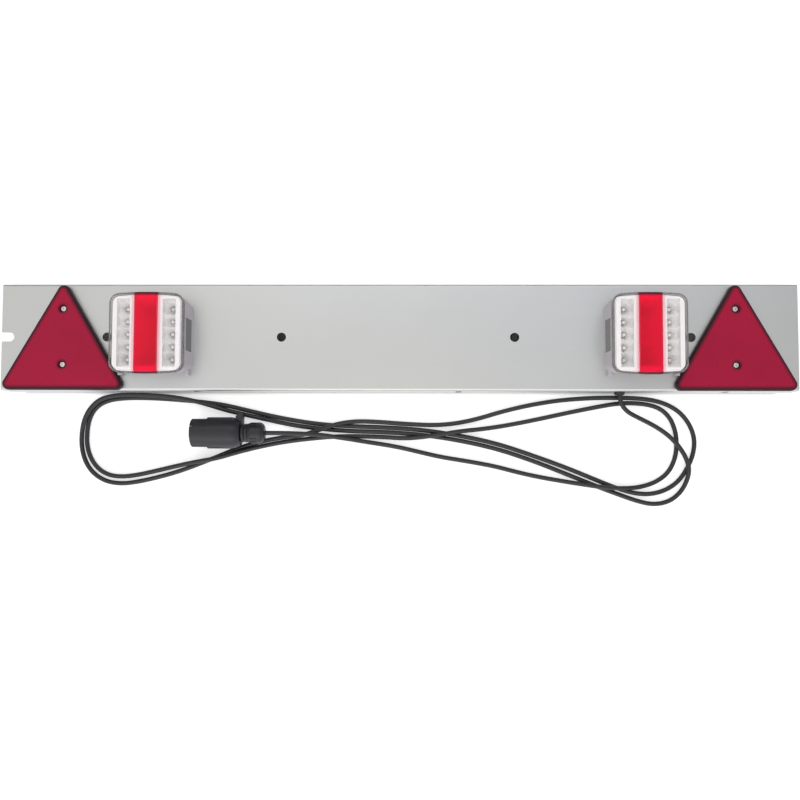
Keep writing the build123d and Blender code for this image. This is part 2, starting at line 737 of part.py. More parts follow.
def make_plug():
    """Pieces of the plug along its own axis, z = 0 at the sleeve's mouth and the cable's side at +Z."""
    pieces = {}
    body_r = plug_d / 2
    sleeve_r = sleeve_d / 2
    bore_r = sleeve_bore_d / 2
    neck_r = plug_neck_d / 2
    collar_r = plug_collar_d / 2
    nut_low = plug_body_length + bead_count * bead_width
    neck_end = nut_low + plug_neck_length
    shoulder_low = plug_body_length - shoulder_length
    shoulder_r = body_r - shoulder_drop
    shoulder_middle = (body_r - shoulder_drop / 4, plug_body_length - shoulder_length / 2)
    shell_edges = [
        Polyline(
            (0, sleeve_bore_depth),
            (bore_r, sleeve_bore_depth),
            (bore_r, 0),
            (sleeve_r - plug_edge / 2, 0),
            (sleeve_r, plug_edge / 2),
            (sleeve_r, sleeve_length),
            (body_r, sleeve_length),
            (body_r, shoulder_low),
        ),
        ThreePointArc((body_r, shoulder_low), shoulder_middle, (shoulder_r, plug_body_length)),
        Line((shoulder_r, plug_body_length), (collar_r, plug_body_length)),
    ]
    for i in range(bead_count):
        bead_low = plug_body_length + i * bead_width
        bead_high = bead_low + bead_width
        bead_middle = (collar_r + bead_rise, (bead_low + bead_high) / 2)
        shell_edges.append(ThreePointArc((collar_r, bead_low), bead_middle, (collar_r, bead_high)))
    shell_edges.append(
        Polyline(
            (collar_r, nut_low),
            (neck_r, nut_low),
            (neck_r, neck_end),
            (0, neck_end),
            (0, sleeve_bore_depth),
        )
    )
    shell = revolve(Plane.XZ * make_face(shell_edges), Axis.Z)
    lug_high = plug_body_length + lug_overhang
    lug_low = lug_high - lug_length
    lug_top = body_r + lug_reach
    lug_side = make_face(
        Polyline(
            (0, lug_low),
            (lug_top - lug_chamfer, lug_low),
            (lug_top, lug_low + lug_chamfer),
            (lug_top, lug_high),
            (0, lug_high),
            close=True,
        )
    )
    lug = extrude(Plane.YZ * lug_side, lug_width / 2, both=True)
    shell += lug - cylinder(collar_r - plug_edge, 0, nut_low)
    key_cut = Pos(0, sleeve_d / 2, 0) * Box(key_slot_width, sleeve_d, 2 * key_slot_length)
    key_cut -= cylinder(bore_r - plug_edge, -key_slot_length - 1, key_slot_length + 1)
    shell -= Rot(0, 0, 90 - key_slot_angle) * key_cut
    pieces["plug_shell"] = shell

    insert_low = sleeve_bore_depth - pin_insert_length
    pieces["plug_insert"] = cylinder(bore_r - pin_insert_gap, insert_low, sleeve_bore_depth)
    pin_places = [(0.0, 0.0)]
    for i in range(pin_ring_count):
        turn = 2 * pi * i / pin_ring_count
        pin_places.append((pin_circle_d / 2 * cos(turn), pin_circle_d / 2 * sin(turn)))
    pin_low = insert_low - pin_length
    pin = revolved(
        [
            (0, pin_low),
            (pin_d / 3, pin_low),
            (pin_d / 2, pin_low + pin_d / 4),
            (pin_d / 2, insert_low),
            (0, insert_low),
        ]
    )
    pieces["plug_pins"] = Compound(children=[Pos(x, y, 0) * pin for x, y in pin_places])

    nut_r = plug_nut_d / 2
    nut_end = nut_low + plug_nut_length
    cable_r = cable_d / 2 + cable_clearance
    thread_r = neck_r + nut_thread_gap
    rear_r = plug_nut_end_d / 2
    rounding_low = nut_end - plug_nut_rounding
    rounding_middle = (nut_r - (nut_r - rear_r) * 0.3, nut_end - plug_nut_rounding * 0.3)
    nut_edges = [
        Polyline(
            (cable_r, nut_end),
            (cable_r, neck_end),
            (thread_r, neck_end),
            (thread_r, nut_low),
            (nut_r - plug_nut_bevel, nut_low),
            (nut_r, nut_low + plug_nut_bevel_length),
            (nut_r, rounding_low),
        ),
        ThreePointArc((nut_r, rounding_low), rounding_middle, (rear_r, nut_end)),
        Line((rear_r, nut_end), (cable_r, nut_end)),
    ]
    nut = revolve(Plane.XZ * make_face(nut_edges), Axis.Z)
    groove = block(2 * nut_rib_depth, nut_rib_width, nut_low + nut_rib_depth, nut_low + nut_rib_length, nut_r)
    for i in range(nut_rib_count):
        nut -= Rot(0, 0, 360 * i / nut_rib_count) * groove
    pieces["plug_gland_nut"] = nut
    return pieces


parts["board_panel"] = make_board_panel()
lamp_place = Pos(lamp_x, lamp_y, panel_face)
for name, piece in make_lamp().items():
    placed = lamp_place * piece
    parts["right_" + name] = placed
    parts["left_" + name] = mirror(placed, about=Plane.YZ)
triangle_place = Pos(triangle_x, triangle_y, panel_face)
for name, piece in make_triangle().items():
    placed = triangle_place * piece
    parts["right_" + name] = placed
    parts["left_" + name] = mirror(placed, about=Plane.YZ)
parts["cable_gland"] = make_gland()
parts["supply_cable"] = make_cable()
plug_plane = Plane((plug_front_x, plug_y, plug_z), x_dir=(0, 0, -1), z_dir=(1, 0, 0))
for name, piece in make_plug().items():
    parts[name] = plug_plane * piece

os.makedirs("parts", exist_ok=True)
for name, piece in parts.items():
    export_step(piece, os.path.join("parts", name + ".step"))
print(len(parts), "nodes written")
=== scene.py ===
import bpy
import json
from math import radians, sqrt
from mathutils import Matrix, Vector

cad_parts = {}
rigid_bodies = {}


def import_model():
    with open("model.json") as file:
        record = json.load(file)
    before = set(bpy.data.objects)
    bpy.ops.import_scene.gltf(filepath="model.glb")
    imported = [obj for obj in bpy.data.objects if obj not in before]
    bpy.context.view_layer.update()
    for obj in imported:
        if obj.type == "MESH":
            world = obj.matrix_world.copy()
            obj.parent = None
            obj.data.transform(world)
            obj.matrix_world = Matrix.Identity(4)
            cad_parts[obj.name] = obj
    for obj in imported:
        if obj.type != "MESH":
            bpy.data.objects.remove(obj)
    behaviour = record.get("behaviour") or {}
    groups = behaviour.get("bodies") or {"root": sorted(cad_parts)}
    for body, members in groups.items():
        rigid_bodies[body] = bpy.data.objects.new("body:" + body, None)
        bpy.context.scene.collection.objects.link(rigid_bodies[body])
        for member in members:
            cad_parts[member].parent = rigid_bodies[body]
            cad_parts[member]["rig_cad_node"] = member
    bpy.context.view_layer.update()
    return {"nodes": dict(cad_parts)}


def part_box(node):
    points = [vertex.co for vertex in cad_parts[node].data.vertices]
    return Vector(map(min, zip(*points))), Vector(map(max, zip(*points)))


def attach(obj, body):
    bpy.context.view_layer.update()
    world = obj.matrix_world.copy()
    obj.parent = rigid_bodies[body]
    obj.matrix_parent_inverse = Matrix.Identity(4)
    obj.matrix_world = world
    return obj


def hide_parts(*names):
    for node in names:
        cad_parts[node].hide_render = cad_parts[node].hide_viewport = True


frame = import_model()

# Studio: the board lies on its back on a plain white table, and the camera hangs above its lower edge.
# The white room is brighter overhead, at the near side and to the left, and a little cool at the right.
# Two long soft boxes, one near and one far, light the faces that lean towards them.
scene = bpy.context.scene
scene.view_settings.view_transform = "Standard"
camera_place = (0.0156, -0.1695, 1.0933)
camera_turn = (0.0493, 0.0116, 0.0027)
camera_sensor = 36.0
camera_lens = 36.83
camera_shift = 0.0336
camera_near = 0.01
bpy.ops.object.select_all(action="DESELECT")
bpy.ops.object.camera_add(location=camera_place, rotation=camera_turn)
camera = bpy.context.active_object
camera.data.sensor_width = camera_sensor
camera.data.lens = camera_lens
camera.data.shift_y = camera_shift
camera.data.clip_start = camera_near
scene.camera = camera


def place(tree, kind, **values):
    """A shader node with its sockets set by name; an underscore stands for a space."""
    node = tree.nodes.new("ShaderNode" + kind)
    for name, value in values.items():
        node.inputs[name.replace("_", " ")].default_value = value
    return node


def value_of(tree, first, operation, second=0.0):
    """A Math node on two values, each a socket or a number."""
    node = tree.nodes.new("ShaderNodeMath")
    node.operation = operation
    for socket, value in zip(node.inputs, (first, second)):
        if isinstance(value, (int, float)):
            socket.default_value = value
        else:
            tree.links.new(value, socket)
    return node.outputs[0]


def ramp(tree, value, start, end, low=0.0, high=1.0):
    """A value that goes from low to high while another goes from start to end."""
    node = place(tree, "MapRange", From_Min=start, From_Max=end, To_Min=low, To_Max=high)
    tree.links.new(value, node.inputs["Value"])
    return node.outputs["Result"]


def blend(tree, factor, low, high, mode="MIX"):
    """A colour made of two others by a factor; each of the three is a socket or a plain value."""
    node = tree.nodes.new("ShaderNodeMix")
    node.data_type = "RGBA"
    node.blend_type = mode
    for name, value in (("Factor", factor), ("A", low), ("B", high)):
        if isinstance(value, bpy.types.NodeSocket):
            tree.links.new(value, node.inputs[name])
        elif isinstance(value, tuple):
            node.inputs[name].default_value = (*value, 1)
        else:
            node.inputs[name].default_value = value
    return node.outputs["Result"]


def axes_of(tree, vector):
    """The X, Y and Z of a vector, as sockets."""
    parts = place(tree, "SeparateXYZ")
    tree.links.new(vector, parts.inputs["Vector"])
    return parts.outputs


def new_finish(name, **values):
    """A material with its Principled shader's sockets set by name."""
    material = bpy.data.materials.new(name)
    material.use_nodes = True
    tree = material.node_tree
    shader = tree.nodes["Principled BSDF"]
    for socket, value in values.items():
        shader.inputs[socket.replace("_", " ")].default_value = value
    return material, tree, shader


def dress(piece, material):
    """Gives a piece one material all over."""
    piece.data.materials.clear()
    piece.data.materials.append(material)


# The table shows white to the camera and in reflections, but not in the shade under the board.
table_size = 9.0
table_drop = 0.0002
table_tone = (0.8, 0.8, 0.8, 1)
table_lift = 0.5
# Painted contact shadow: the table's white glow fades out over a thin strip just outside the board's long
# edges.
board_shade = (("X", 0.500, 0.504), ("Y", 0.0695, 0.0740))
bpy.ops.mesh.primitive_plane_add(size=table_size, location=(0, 0, -table_drop))
table_top = bpy.context.active_object
table_top.name = "table_top"
bpy.ops.object.transform_apply(location=True, rotation=False, scale=False)
table_white, tree, shader = new_finish(
    "table_white",
    Base_Color=table_tone,
    Roughness=0.9,
    Specular_IOR_Level=0.1,
    Emission_Color=(1, 1, 1, 1),
)
ray = place(tree, "LightPath")
seen = value_of(tree, ray.outputs["Is Camera Ray"], "MAXIMUM", ray.outputs["Is Glossy Ray"])
seen = value_of(tree, seen, "MAXIMUM", ray.outputs["Is Transmission Ray"])
axes = axes_of(tree, place(tree, "TexCoord").outputs["Object"])
open_table = 0.0
for axis, inner, outer in board_shade:
    from_middle = value_of(tree, axes[axis], "ABSOLUTE")
    open_table = value_of(tree, ramp(tree, from_middle, inner, outer), "MAXIMUM", open_table)
lift = value_of(tree, value_of(tree, seen, "MULTIPLY", open_table), "MULTIPLY", table_lift)
tree.links.new(lift, shader.inputs["Emission Strength"])
dress(table_top, table_white)

room_light = 0.6
overhead_light = 0.98
overhead_start = 0.5
right_loss = 0.62
near_gain = 0.8
room_white = (1.0, 1.0, 0.985)
room_cool = (0.96, 0.97, 1.03)
cool_reach = 0.45
room = bpy.data.worlds.new("white_room")
scene.world = room
room.use_nodes = True
tree = room.node_tree
background = tree.nodes["Background"]
axes = axes_of(tree, place(tree, "TexCoord").outputs["Generated"])
top_light = value_of(tree, axes["X"], "MULTIPLY", -right_loss * overhead_light)
top_light = value_of(tree, top_light, "ADD", overhead_light)
height_light = ramp(tree, axes["Z"], overhead_start, 1.0, room_light)
tree.links.new(top_light, height_light.node.inputs["To Max"])
near_light = value_of(tree, value_of(tree, axes["Y"], "MULTIPLY", -near_gain), "ADD", 1.0)
tree.links.new(value_of(tree, height_light, "MULTIPLY", near_light), background.inputs["Strength"])
hue = blend(tree, ramp(tree, axes["X"], 0.0, cool_reach), room_white, room_cool)
tree.links.new(hue, background.inputs["Color"])

box_width = 1.8
box_height = 0.6
box_power = 5.0
for box_name, box_place, box_tilt in (
    ("near_box", (-0.1, -1.3, 0.9), 56),
    ("far_box", (0.1, 0.9, 1.3), -35),
):
    bpy.ops.object.light_add(type="AREA", location=box_place, rotation=(radians(box_tilt), 0, 0))
    soft_box = bpy.context.active_object
    soft_box.name = box_name
    soft_box.data.shape = "RECTANGLE"
    soft_box.data.size = box_width
    soft_box.data.size_y = box_height
    soft_box.data.energy = box_power

# Board panel: one sheet of plain aluminium, cut out, punched and bent back along its two long edges.
# The rolled face has a fine grain along its length and a few soft smudges from handling.
# Its tone drifts slowly between a cool and a warm grey.
nodes = frame["nodes"]
panel_dark = (0.60, 0.598, 0.590)
panel_light = (0.68, 0.678, 0.665)
panel_cool = (0.93, 0.95, 0.98)
panel_warm = (1.0, 0.995, 0.955)
panel_gloss = (0.36, 0.50)
roll_stretch = (6.0, 900.0, 900.0)
roll_strength = 0.12
roll_depth = 0.0002
smudge_scale = 7.0
smudge_share = 0.65
drift_scale = 1.7
drift_start = 0.35
drift_end = 0.65


def noise(tree, spot, **values):
    """A noise pattern on the given coordinates."""
    texture = place(tree, "TexNoise", **values)
    tree.links.new(spot, texture.inputs["Vector"])
    return texture.outputs["Fac"]


def mixture(tree, first, second, share):
    """Two patterns added up, the second with a share from 0 to 1 and the first with the rest."""
    rest = value_of(tree, first, "MULTIPLY", 1.0 - share)
    return value_of(tree, rest, "ADD", value_of(tree, second, "MULTIPLY", share))


def between(tree, share, low, high):
    """A number between two others, by a share from 0 to 1."""
    return value_of(tree, value_of(tree, share, "MULTIPLY", high - low), "ADD", low)


def emboss(tree, shader, height, strength, depth):
    """Gives a finish the fine relief of a pattern."""
    bump = place(tree, "Bump", Strength=strength, Distance=depth)
    tree.links.new(height, bump.inputs["Height"])
    tree.links.new(bump.outputs["Normal"], shader.inputs["Normal"])


panel_metal, tree, shader = new_finish("panel_metal", Metallic=1.0)
spot = place(tree, "TexCoord").outputs["Object"]
stretch = place(tree, "Mapping", Scale=roll_stretch)
tree.links.new(spot, stretch.inputs["Vector"])
rolled = noise(tree, stretch.outputs["Vector"], Scale=1.0, Detail=3.0, Roughness=0.6)
smudge = noise(tree, spot, Scale=smudge_scale, Detail=4.0, Roughness=0.55)
drift = noise(tree, spot, Scale=drift_scale, Detail=1.0, Roughness=0.5)
tone = blend(tree, mixture(tree, rolled, smudge, smudge_share), panel_dark, panel_light)
cast = blend(tree, ramp(tree, drift, drift_start, drift_end), panel_cool, panel_warm)
tree.links.new(blend(tree, 1.0, tone, cast, "MULTIPLY"), shader.inputs["Base Color"])
tree.links.new(between(tree, smudge, *panel_gloss), shader.inputs["Roughness"])
emboss(tree, shader, rolled, roll_strength, roll_depth)
dress(nodes["board_panel"], panel_metal)

# Lamp housings: grey moulded trays with sloping walls, screwed to the panel through their floors.
# A thin rubber ring closes the joint with the cover, and shows mid-grey through the cover's clear foot.
# A smoked window in the wall that faces the middle lights the number plate.
sides = ("left_", "right_")
cloud_scale = 22.0
grain_strength = 0.3
grain_group = bpy.data.node_groups.new("moulded_grain", "ShaderNodeTree")
for socket_name, direction, kind in (
    ("Scale", "INPUT", "NodeSocketFloat"),
    ("Shade", "OUTPUT", "NodeSocketFloat"),
    ("Grain", "OUTPUT", "NodeSocketFloat"),
):
    grain_group.interface.new_socket(socket_name, in_out=direction, socket_type=kind)
group_in = grain_group.nodes.new("NodeGroupInput")
group_out = grain_group.nodes.new("NodeGroupOutput")
spot = place(grain_group, "TexCoord").outputs["Object"]
fine = noise(grain_group, spot, Detail=2.0, Roughness=0.5)
broad = noise(grain_group, spot, Scale=cloud_scale, Detail=3.0, Roughness=0.6)
grain_group.links.new(group_in.outputs["Scale"], fine.node.inputs["Scale"])
grain_group.links.new(fine, group_out.inputs["Grain"])
grain_group.links.new(broad, group_out.inputs["Shade"])


def grain_of(tree, scale):
    """The moulded grain, placed in a material with its own scale."""
    grain = tree.nodes.new("ShaderNodeGroup")
    grain.node_tree = grain_group
    grain.inputs["Scale"].default_value = scale
    return grain.outputs


def moulded_finish(name, dark, light, gloss, grain_scale, grain_depth, **values):
    """Plastic, rubber or bright metal: two close tones, uneven gloss and a fine grain."""
    material, tree, shader = new_finish(name, **values)
    grain = grain_of(tree, grain_scale)
    tree.links.new(blend(tree, grain["Shade"], dark, light), shader.inputs["Base Color"])
    tree.links.new(between(tree, grain["Shade"], *gloss), shader.inputs["Roughness"])
    emboss(tree, shader, grain["Grain"], grain_strength, grain_depth)
    return material


housing_grey = moulded_finish(
    "housing_grey",
    dark=(0.46, 0.435, 0.465),
    light=(0.54, 0.51, 0.54),
    gloss=(0.35, 0.5),
    grain_scale=1800.0,
    grain_depth=0.0001,
)
seal_grey = moulded_finish(
    "seal_grey",
    dark=(0.30, 0.295, 0.30),
    light=(0.36, 0.355, 0.36),
    gloss=(0.6, 0.8),
    grain_scale=1200.0,
    grain_depth=0.0001,
)
window_smoke = moulded_finish(
    "window_smoke",
    dark=(0.105, 0.10, 0.105),
    light=(0.13, 0.126, 0.13),
    gloss=(0.18, 0.28),
    grain_scale=900.0,
    grain_depth=0.00004,
    Coat_Weight=0.2,
)
merge_reach = 0.00001


def merged_copy(node_name, copy_name):
    """A copy of a solid's mesh with its doubles merged, active and alone in the selection."""
    bpy.ops.object.select_all(action="DESELECT")
    nodes[node_name].select_set(True)
    bpy.context.view_layer.objects.active = nodes[node_name]
    bpy.ops.object.duplicate()
    piece = bpy.context.active_object
    piece.name = copy_name
    del piece["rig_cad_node"]
    bpy.ops.object.mode_set(mode="EDIT")
    bpy.ops.mesh.select_all(action="SELECT")
    bpy.ops.mesh.remove_doubles(threshold=merge_reach)
    bpy.ops.mesh.customdata_custom_splitnormals_clear()
    bpy.ops.mesh.select_all(action="DESELECT")
    bpy.ops.object.mode_set(mode="OBJECT")
    return piece


def move_selected(shift):
    """Moves the corners that are selected on the active piece, and lets them go."""
    bpy.ops.object.mode_set(mode="EDIT")
    bpy.ops.transform.translate(value=shift)
    bpy.ops.mesh.select_all(action="DESELECT")
    bpy.ops.object.mode_set(mode="OBJECT")


# The seal's copy is a hair lower than the solid and has rounded edges, so it and the cover share no plane.
seal_slack = 0.00006
seal_edge = 0.0001
seal_edge_steps = 2
seal_flat = radians(1)
seal_corner = radians(40)
seal_smooth = radians(35)
for side in sides:
    dress(nodes[side + "lamp_housing"], housing_grey)
    dress(nodes[side + "plate_window"], window_smoke)
    seal = merged_copy(side + "lamp_seal", side + "cover_seal")
    bpy.ops.object.mode_set(mode="EDIT")
    bpy.ops.mesh.select_all(action="SELECT")
    bpy.ops.mesh.dissolve_limited(angle_limit=seal_flat)
    bpy.ops.mesh.select_all(action="DESELECT")
    bpy.ops.object.mode_set(mode="OBJECT")
    seal_low, seal_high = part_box(side + "lamp_seal")
    for corner in seal.data.vertices:
        corner.select = corner.co.z > (seal_low[2] + seal_high[2]) / 2
    move_selected((0, 0, -seal_slack))
    rounding = seal.modifiers.new("rounded_edge", "BEVEL")
    rounding.width = seal_edge
    rounding.segments = seal_edge_steps
    rounding.limit_method = "ANGLE"
    rounding.angle_limit = seal_corner
    bpy.ops.object.modifier_apply(modifier=rounding.name)
    bpy.ops.object.shade_smooth_by_angle(angle=seal_smooth)
    dress(seal, seal_grey)
    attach(seal, "root")
    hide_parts(side + "lamp_seal")

# Inside each lamp: a white circuit board with ten signal LEDs, five tail LEDs and two for the plate.
# A bright white moulded insert snaps in under the cover, with a cup for each signal LED and a trough
# for the tail LEDs. The signal LEDs are domes of clear resin, painted paler on top as a painted highlight
# and darker round the side as a painted shade.
circuit_white = moulded_finish(
    "circuit_white",
    dark=(0.72, 0.72, 0.70),
    light=(0.79, 0.79, 0.77),
    gloss=(0.35, 0.45),
    grain_scale=500.0,
    grain_depth=0.00003,
)
chip_yellow = moulded_finish(
    "chip_yellow",
    dark=(0.74, 0.66, 0.34),
    light=(0.84, 0.77, 0.46),
    gloss=(0.3, 0.42),
    grain_scale=1500.0,
    grain_depth=0.00002,
)
reflector_white = moulded_finish(
    "reflector_white",
    dark=(0.965, 0.955, 0.945),
    light=(0.99, 0.985, 0.98),
    gloss=(0.18, 0.3),
    grain_scale=420.0,
    grain_depth=0.00004,
    Coat_Weight=0.4,
)
dome_side_painted_shade = (0.60, 0.59, 0.575)
dome_crown_painted_highlight = (0.92, 0.90, 0.87)
painted_highlight_start = 0.45
painted_highlight_end = 0.85
# Painted highlight and painted shade: the domes' colour goes from darker at the side to pale where their
# faces turn upwards.
led_dome_painted_light, tree, shader = new_finish("led_dome_painted_light", Roughness=0.08, Coat_Weight=0.5)
upright = axes_of(tree, place(tree, "NewGeometry").outputs["Normal"])["Z"]
tone = blend(tree, ramp(tree, upright, painted_highlight_start, painted_highlight_end), dome_side_painted_shade, dome_crown_painted_highlight)
tree.links.new(tone, shader.inputs["Base Color"])

# The insert's copy has both columns of cups longer than the solid's at each end.
column_place = 0.029
column_reach = 0.0095
column_end = 0.04075
column_wall = 0.0013
column_slack = 0.0001
column_growth = 0.0026
cup_smooth = radians(30)
for side in sides:
    dress(nodes[side + "circuit_board"], circuit_white)
    dress(nodes[side + "signal_leds"], led_dome_painted_light)
    dress(nodes[side + "tail_leds"], chip_yellow)
    dress(nodes[side + "plate_leds"], chip_yellow)
    insert = merged_copy(side + "reflector_insert", side + "cup_insert")
    insert_low, insert_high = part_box(side + "reflector_insert")
    insert_x = (insert_low[0] + insert_high[0]) / 2
    insert_y = (insert_low[1] + insert_high[1]) / 2
    for way in (1, -1):
        for corner in insert.data.vertices:
            aside = abs(abs(corner.co.x - insert_x) - column_place)
            past_end = way * (corner.co.y - insert_y) - column_end
            corner.select = aside < column_reach and -column_slack < past_end < column_wall
        move_selected((0, way * column_growth, 0))
    bpy.ops.object.shade_smooth_by_angle(angle=cup_smooth)
    dress(insert, reflector_white)
    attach(insert, "root")
    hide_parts(side + "reflector_insert")

# Lamp covers: each is moulded in two shots, a clear frame and a red strip across it, and welded down.
# Both let the light of the room through to what is behind them. The clear frame is painted pink beside the
# strip, a painted glow of the strip's red light in it, and painted greyish round its rolled edge, a
# painted shade.
clear_tone = (0.98, 0.98, 0.985)
painted_glow_pink = (1.0, 0.66, 0.68)
edge_grey_painted_shade = (0.80, 0.765, 0.77)
red_tone = (0.94, 0.027, 0.175)
lamp_middle = 0.3176
painted_glow_start = 0.0174
painted_glow_end = 0.0192
edge_foot = 0.0035
edge_top = 0.0006
flow_scale = 300.0


def glass_finish(name, colour, gloss, index):
    """See-through plastic with uneven gloss that lets light straight through to what it covers."""
    material, tree, shader = new_finish(name, Base_Color=(*colour, 1), Transmission_Weight=1.0, IOR=index)
    grain = grain_of(tree, flow_scale)
    tree.links.new(between(tree, grain["Shade"], *gloss), shader.inputs["Roughness"])
    ray = place(tree, "LightPath")
    clear = place(tree, "BsdfTransparent", Color=(*[sqrt(part) for part in colour], 1))
    mix = place(tree, "MixShader")
    tree.links.new(ray.outputs["Is Shadow Ray"], mix.inputs["Fac"])
    tree.links.new(shader.outputs["BSDF"], mix.inputs[1])
    tree.links.new(clear.outputs["BSDF"], mix.inputs[2])
    tree.links.new(mix.outputs["Shader"], tree.nodes["Material Output"].inputs["Surface"])
    return material, tree, shader


def from_places(tree, across, middle):
    """How far a point lies sideways from the nearer of two places, one at each end of the board."""
    from_place = value_of(tree, value_of(tree, across, "ABSOLUTE"), "ADD", -middle)
    return value_of(tree, from_place, "ABSOLUTE")


cover_clear, tree, shader = glass_finish("cover_clear", clear_tone, gloss=(0.02, 0.05), index=1.2)
axes = axes_of(tree, place(tree, "TexCoord").outputs["Object"])
# Painted glow: the frame's colour turns pink beside each red strip, standing in for the strip's red light.
painted_glow_share = ramp(tree, from_places(tree, axes["X"], lamp_middle), painted_glow_start, painted_glow_end, 1.0, 0.0)
tone = blend(tree, painted_glow_share, clear_tone, painted_glow_pink)
cover_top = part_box("right_clear_lens")[1][2]
# Painted shade: the frame's colour turns grey below its top, round the rolled edge and down its walls.
edge = ramp(tree, axes["Z"], cover_top - edge_foot, cover_top - edge_top, 1.0, 0.0)
tree.links.new(blend(tree, edge, tone, edge_grey_painted_shade), shader.inputs["Base Color"])
cover_red, tree, shader = glass_finish("cover_red", red_tone, gloss=(0.32, 0.42), index=1.3)
for side in sides:
    dress(nodes[side + "clear_lens"], cover_clear)
    dress(nodes[side + "red_lens"], cover_red)

# Warning triangles: a red reflex lens in a black moulded holder, screwed to the panel through two wells.
# The lens is backed by rows of small three-sided prisms, a fine pattern under its smooth face.
# Its rounded edge and its wells are painted almost black, a painted shade.
holder_black = moulded_finish(
    "holder_black",
    dark=(0.012, 0.011, 0.012),
    light=(0.022, 0.02, 0.021),
    gloss=(0.4, 0.6),
    grain_scale=1500.0,
    grain_depth=0.0001,
)
reflex_dark = (0.285, 0.0088, 0.036)
reflex_light = (0.52, 0.0138, 0.057)
reflex_rim_painted_shade = (0.04, 0.011, 0.019)
prism_scale = 62.0
prism_turns = (0, 60, 120)
prism_strength = 0.15
prism_depth = 0.0003
haze_scale = 11.0
haze_share = 0.6
reflex_red, tree, shader = new_finish("reflex_red", Roughness=0.32, Specular_IOR_Level=0.12)
spot = place(tree, "TexCoord").outputs["Object"]
axes = axes_of(tree, spot)
prism = 1.0
for turn in prism_turns:
    mapping = place(tree, "Mapping", Rotation=(0, 0, radians(turn)))
    tree.links.new(spot, mapping.inputs["Vector"])
    wave = place(tree, "TexWave", Scale=prism_scale, Distortion=0.0)
    wave.wave_profile = "TRI"
    tree.links.new(mapping.outputs["Vector"], wave.inputs["Vector"])
    prism = value_of(tree, wave.outputs["Fac"], "MINIMUM", prism)
haze = noise(tree, spot, Scale=haze_scale, Detail=3.0)
tone = blend(tree, mixture(tree, prism, haze, haze_share), reflex_dark, reflex_light)


def length_of(tree, across, along):
    """The length of a slanted line from its two parts at right angles."""
    along_square = value_of(tree, along, "POWER", 2.0)
    squares = value_of(tree, value_of(tree, across, "POWER", 2.0), "ADD", along_square)
    return value_of(tree, squares, "POWER", 0.5)


# The rim is measured from a smaller triangle whose sharp corners are the centres of the lens's round ones.
corner_radius = 0.008
border_width = 0.0068
border_dark = 0.0021
triangle_low, triangle_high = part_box("right_triangle_holder")
triangle_x = (triangle_low[0] + triangle_high[0]) / 2
sharp_side = triangle_high[0] - triangle_low[0] + 2 * corner_radius * (sqrt(3) - 1)
inradius = sharp_side / (2 * sqrt(3))
middle_y = triangle_low[1] + inradius
core = inradius - corner_radius
aside = from_places(tree, axes["X"], triangle_x)
above = value_of(tree, axes["Y"], "ADD", -middle_y)
half_above = value_of(tree, above, "MULTIPLY", 0.5)
near_slope = value_of(tree, value_of(tree, aside, "MULTIPLY", sqrt(3) / 2), "ADD", half_above)
far_slope = value_of(tree, value_of(tree, aside, "MULTIPLY", -sqrt(3) / 2), "ADD", half_above)
foot = value_of(tree, above, "MULTIPLY", -1.0)
past_side = value_of(tree, value_of(tree, near_slope, "MAXIMUM", foot), "ADD", -core)
past_side = value_of(tree, past_side, "MAXIMUM", 0.0)
past_next = value_of(tree, value_of(tree, near_slope, "MINIMUM", foot), "MAXIMUM", far_slope)
past_next = value_of(tree, past_next, "ADD", -core)
past_corner = value_of(tree, past_next, "ADD", value_of(tree, past_side, "MULTIPLY", 0.5))
past_corner = value_of(tree, past_corner, "MAXIMUM", 0.0)
past_corner = value_of(tree, past_corner, "MULTIPLY", 2 / sqrt(3))
outwards = length_of(tree, past_side, past_corner)
# Painted shade: the lens's colour darkens towards its rounded edge.
clear_of_painted_shade = ramp(tree, outwards, corner_radius - border_width, corner_radius - border_dark, 1.0, 0.0)

well_inner = 0.0045
well_outer = 0.0085
well_painted_shade = 0.3
screw_low, screw_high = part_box("right_triangle_screws")
screw_radius = (screw_high[0] - screw_low[0]) / 2
# Painted shade: the lens's colour darkens round each screw well, where the recess lies in shade.
for screw_y in (screw_low[1] + screw_radius, screw_high[1] - screw_radius):
    from_screw = length_of(tree, value_of(tree, axes["Y"], "ADD", -screw_y), aside)
    well = ramp(tree, from_screw, well_inner, well_outer, well_painted_shade, 1.0)
    clear_of_painted_shade = value_of(tree, clear_of_painted_shade, "MULTIPLY", well)
tree.links.new(blend(tree, clear_of_painted_shade, reflex_rim_painted_shade, tone), shader.inputs["Base Color"])
emboss(tree, shader, prism, prism_strength, prism_depth)
for side in sides:
    dress(nodes[side + "triangle_holder"], holder_black)
    dress(nodes[side + "triangle_lens"], reflex_red)

# Fasteners: zinc plated studs, screws, washers and nuts hold the lamps and the triangles to the panel.
# The plating is bright but a little cloudy.
zinc_plate = moulded_finish(
    "zinc_plate",
    dark=(0.6, 0.6, 0.58),
    light=(0.75, 0.75, 0.74),
    gloss=(0.22, 0.38),
    grain_scale=900.0,
    grain_depth=0.00005,
    Metallic=1.0,
)
for side in sides:
    for name in ("lamp_studs", "triangle_screws"):
        dress(nodes[side + name], zinc_plate)
    for name in ("lamp_washers", "lamp_nuts", "triangle_washers", "triangle_nuts"):
        dress(nodes[side + name], zinc_plate)

# Grommets and cable gland: black rubber bushes pressed into holes in the housings and in the lower flange.
# They are moulded in soft rubber with a dull face, and keep the cable off the edges of the holes.
rubber_black = moulded_finish(
    "rubber_black",
    dark=(0.014, 0.014, 0.014),
    light=(0.026, 0.026, 0.026),
    gloss=(0.55, 0.75),
    grain_scale=1400.0,
    grain_depth=0.0001,
)
for side in sides:
    dress(nodes[side + "lamp_grommet"], rubber_black)
dress(nodes["cable_gland"], rubber_black)

